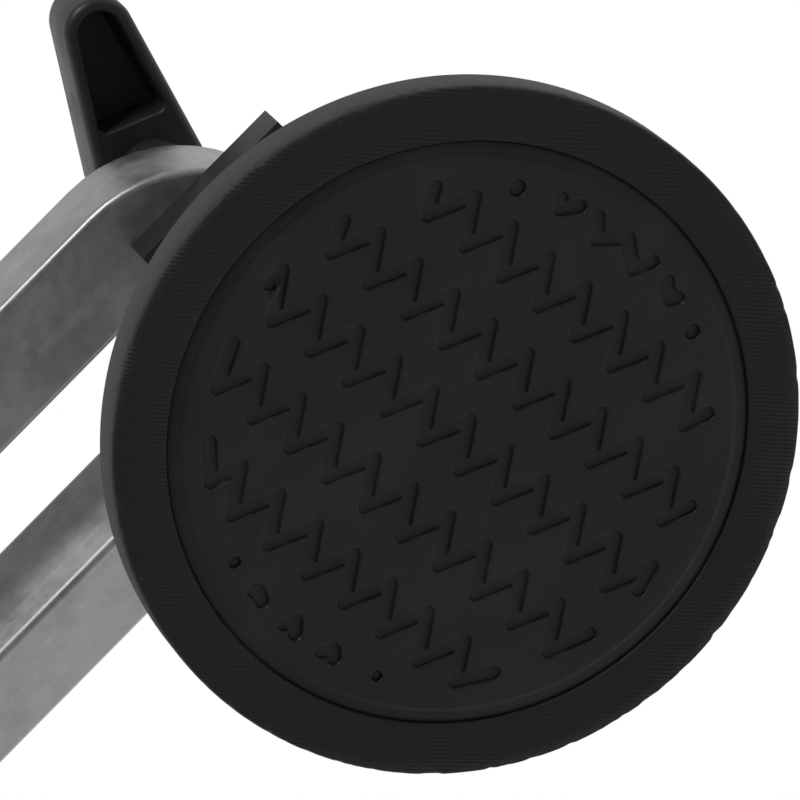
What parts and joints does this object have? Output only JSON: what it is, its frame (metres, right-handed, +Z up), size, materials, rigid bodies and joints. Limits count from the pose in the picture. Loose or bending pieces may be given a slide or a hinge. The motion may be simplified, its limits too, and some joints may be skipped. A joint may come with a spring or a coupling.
{
  "type": "ladder stabilizer",
  "caption": "Ladder standoff stabilizer: square crossbar clamped across the ladder, leaning wing bar with bent ends, sliding arms and big round rubber wall pads on swivels.",
  "frame": {"origin": "centre of the grip strip's face, where the crossbar meets the ladder's rails", "axes": "+X along the bars, -Y towards the wall, +Z up the wall"},
  "size_m": [1.01, 0.2644, 0.15],
  "materials": {
    "mill_aluminium": "mill finish",
    "cast_aluminium": "cast, satin",
    "rivet_aluminium": "satin",
    "zinc_steel": "zinc plated",
    "spring_steel": "oiled dark",
    "insert_brass": "turned",
    "black_plastic": "matt moulded",
    "vinyl_black": "soft satin",
    "grip_rubber": "matt",
    "tread_rubber": "matt, dusty with wear"
  },
  "bodies": {
    "ladder_side": {"crossbar": "mill_aluminium", "crossbar_caps": "black_plastic", "grip_strip": "grip_rubber", "u_bolts": "zinc_steel", "u_bolt_sleeves": "vinyl_black", "u_bolt_plates": "zinc_steel", "u_bolt_washers": "zinc_steel", "u_bolt_nuts": "zinc_steel", "lean_plates": "cast_aluminium", "lean_plate_screws": "zinc_steel"},
    "wing": {"wing_bar": "mill_aluminium", "leg_caps": "black_plastic", "lean_clevises": "cast_aluminium", "clevis_screws": "zinc_steel", "lean_bolts": "zinc_steel", "socket_left": "black_plastic", "socket_right": "black_plastic", "socket_screws": "zinc_steel", "lever_bolts": "zinc_steel", "lever_collars": "black_plastic", "lever_nuts": "zinc_steel"},
    "left_lean_knob": {"lean_knob_left": "black_plastic"},
    "left_lever": {"lock_lever_left": "black_plastic"},
    "left_arm_lock": {"arm_knob_left": "black_plastic", "arm_stud_left": "zinc_steel"},
    "left_arm": {"arm_left": "mill_aluminium", "arm_fork_left": "black_plastic", "arm_rivet_left": "rivet_aluminium", "swivel_pin_left": "zinc_steel", "pin_clip_left": "spring_steel"},
    "left_pad": {"pad_hub_left": "black_plastic", "pad_plate_left": "zinc_steel", "pad_screws_left": "zinc_steel", "pad_inserts_left": "insert_brass", "pad_tread_left": "tread_rubber"},
    "right_lean_knob": {"lean_knob_right": "black_plastic"},
    "right_lever": {"lock_lever_right": "black_plastic"},
    "right_arm_lock": {"arm_knob_right": "black_plastic", "arm_stud_right": "zinc_steel"},
    "right_arm": {"arm_right": "mill_aluminium", "arm_fork_right": "black_plastic", "arm_rivet_right": "rivet_aluminium", "swivel_pin_right": "zinc_steel", "pin_clip_right": "spring_steel"},
    "right_pad": {"pad_hub_right": "black_plastic", "pad_plate_right": "zinc_steel", "pad_screws_right": "zinc_steel", "pad_inserts_right": "insert_brass", "pad_tread_right": "tread_rubber"}
  },
  "joints": [
    {"name": "lean_hinge", "type": "hinge", "parent": "ladder_side", "child": "wing", "pos_m": [0, -0.01537, 0.01978], "axis": [1, 0, 0], "range_deg": [-17, 23]},
    {"name": "left_lean_knob_turn", "type": "hinge", "parent": "wing", "child": "left_lean_knob", "pos_m": [-0.125, -0.01537, 0.01978], "axis": [-1, 0, 0], "range_deg": [-180, 180]},
    {"name": "left_lever_swing", "type": "hinge", "parent": "wing", "child": "left_lever", "pos_m": [-0.4234, 0.02233, 0.04108], "axis": [0, -1, 0], "range_deg": [-75, 45]},
    {"name": "left_arm_lock_turn", "type": "hinge", "parent": "wing", "child": "left_arm_lock", "pos_m": [-0.43, -0.08707, -0.00653], "axis": [0, 0, 1], "range_deg": [-180, 180]},
    {"name": "left_arm_slide", "type": "slide", "parent": "wing", "child": "left_arm", "axis": [0, -1, 0], "range_m": [0, 0.04]},
    {"name": "left_pad_tilt", "type": "hinge", "parent": "left_arm", "child": "left_pad", "pos_m": [-0.43, -0.15037, 0.01978], "axis": [1, 0, 0], "range_deg": [-20, 20]},
    {"name": "right_lean_knob_turn", "type": "hinge", "parent": "wing", "child": "right_lean_knob", "pos_m": [0.125, -0.01537, 0.01978], "axis": [1, 0, 0], "range_deg": [-180, 180]},
    {"name": "right_lever_swing", "type": "hinge", "parent": "wing", "child": "right_lever", "pos_m": [0.4234, 0.02233, 0.04108], "axis": [0, 1, 0], "range_deg": [-75, 45]},
    {"name": "right_arm_lock_turn", "type": "hinge", "parent": "wing", "child": "right_arm_lock", "pos_m": [0.43, -0.08707, -0.00653], "axis": [0, 0, 1], "range_deg": [-180, 180]},
    {"name": "right_arm_slide", "type": "slide", "parent": "wing", "child": "right_arm", "axis": [0, -1, 0], "range_m": [0, 0.04]},
    {"name": "right_pad_tilt", "type": "hinge", "parent": "right_arm", "child": "right_pad", "pos_m": [0.43, -0.15037, 0.01978], "axis": [1, 0, 0], "range_deg": [-20, 20]}
  ]
}
